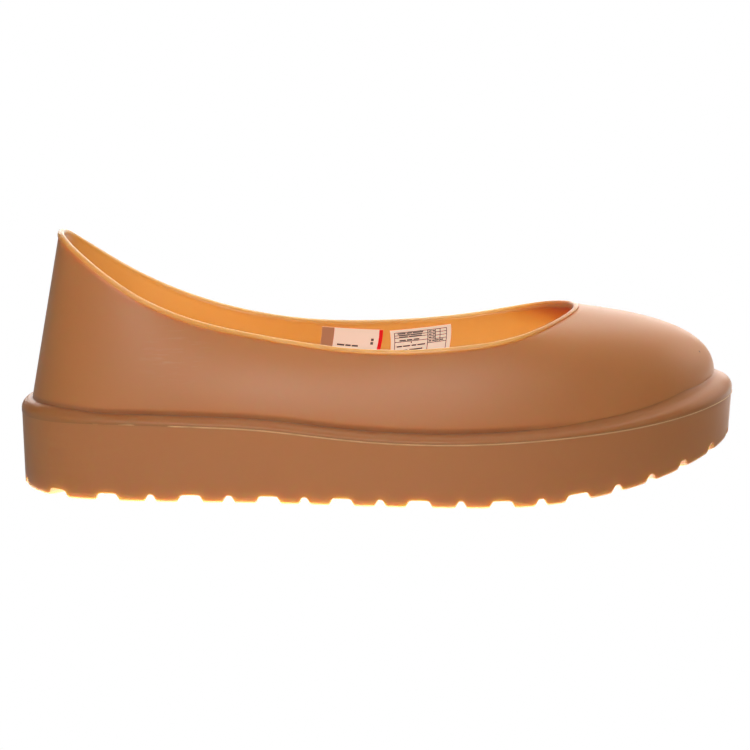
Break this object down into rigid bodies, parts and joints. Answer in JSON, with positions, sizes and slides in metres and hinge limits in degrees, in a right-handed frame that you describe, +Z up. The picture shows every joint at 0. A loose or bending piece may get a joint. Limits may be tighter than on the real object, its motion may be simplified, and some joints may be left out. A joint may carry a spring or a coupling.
{
  "type": "overshoe",
  "caption": "Low slip-on rubber overshoe for a right foot, with a high heel, a beaded collar, a rounded welt and a thick lugged cup sole with a raised toe.",
  "frame": {"origin": "on the floor, at the middle of the box around the shoe", "axes": "+X from heel to toe, +Y to the inner side of the foot, +Z up"},
  "size_m": [0.2904, 0.1076, 0.1049],
  "materials": {
    "upper_rubber": "satin, fine moulded grain",
    "welt_rubber": "satin, smooth",
    "sole_rubber": "satin, fine moulded grain"
  },
  "bodies": {
    "root": {"upper": "upper_rubber", "welt": "welt_rubber", "outsole": "sole_rubber"}
  },
  "joints": []
}
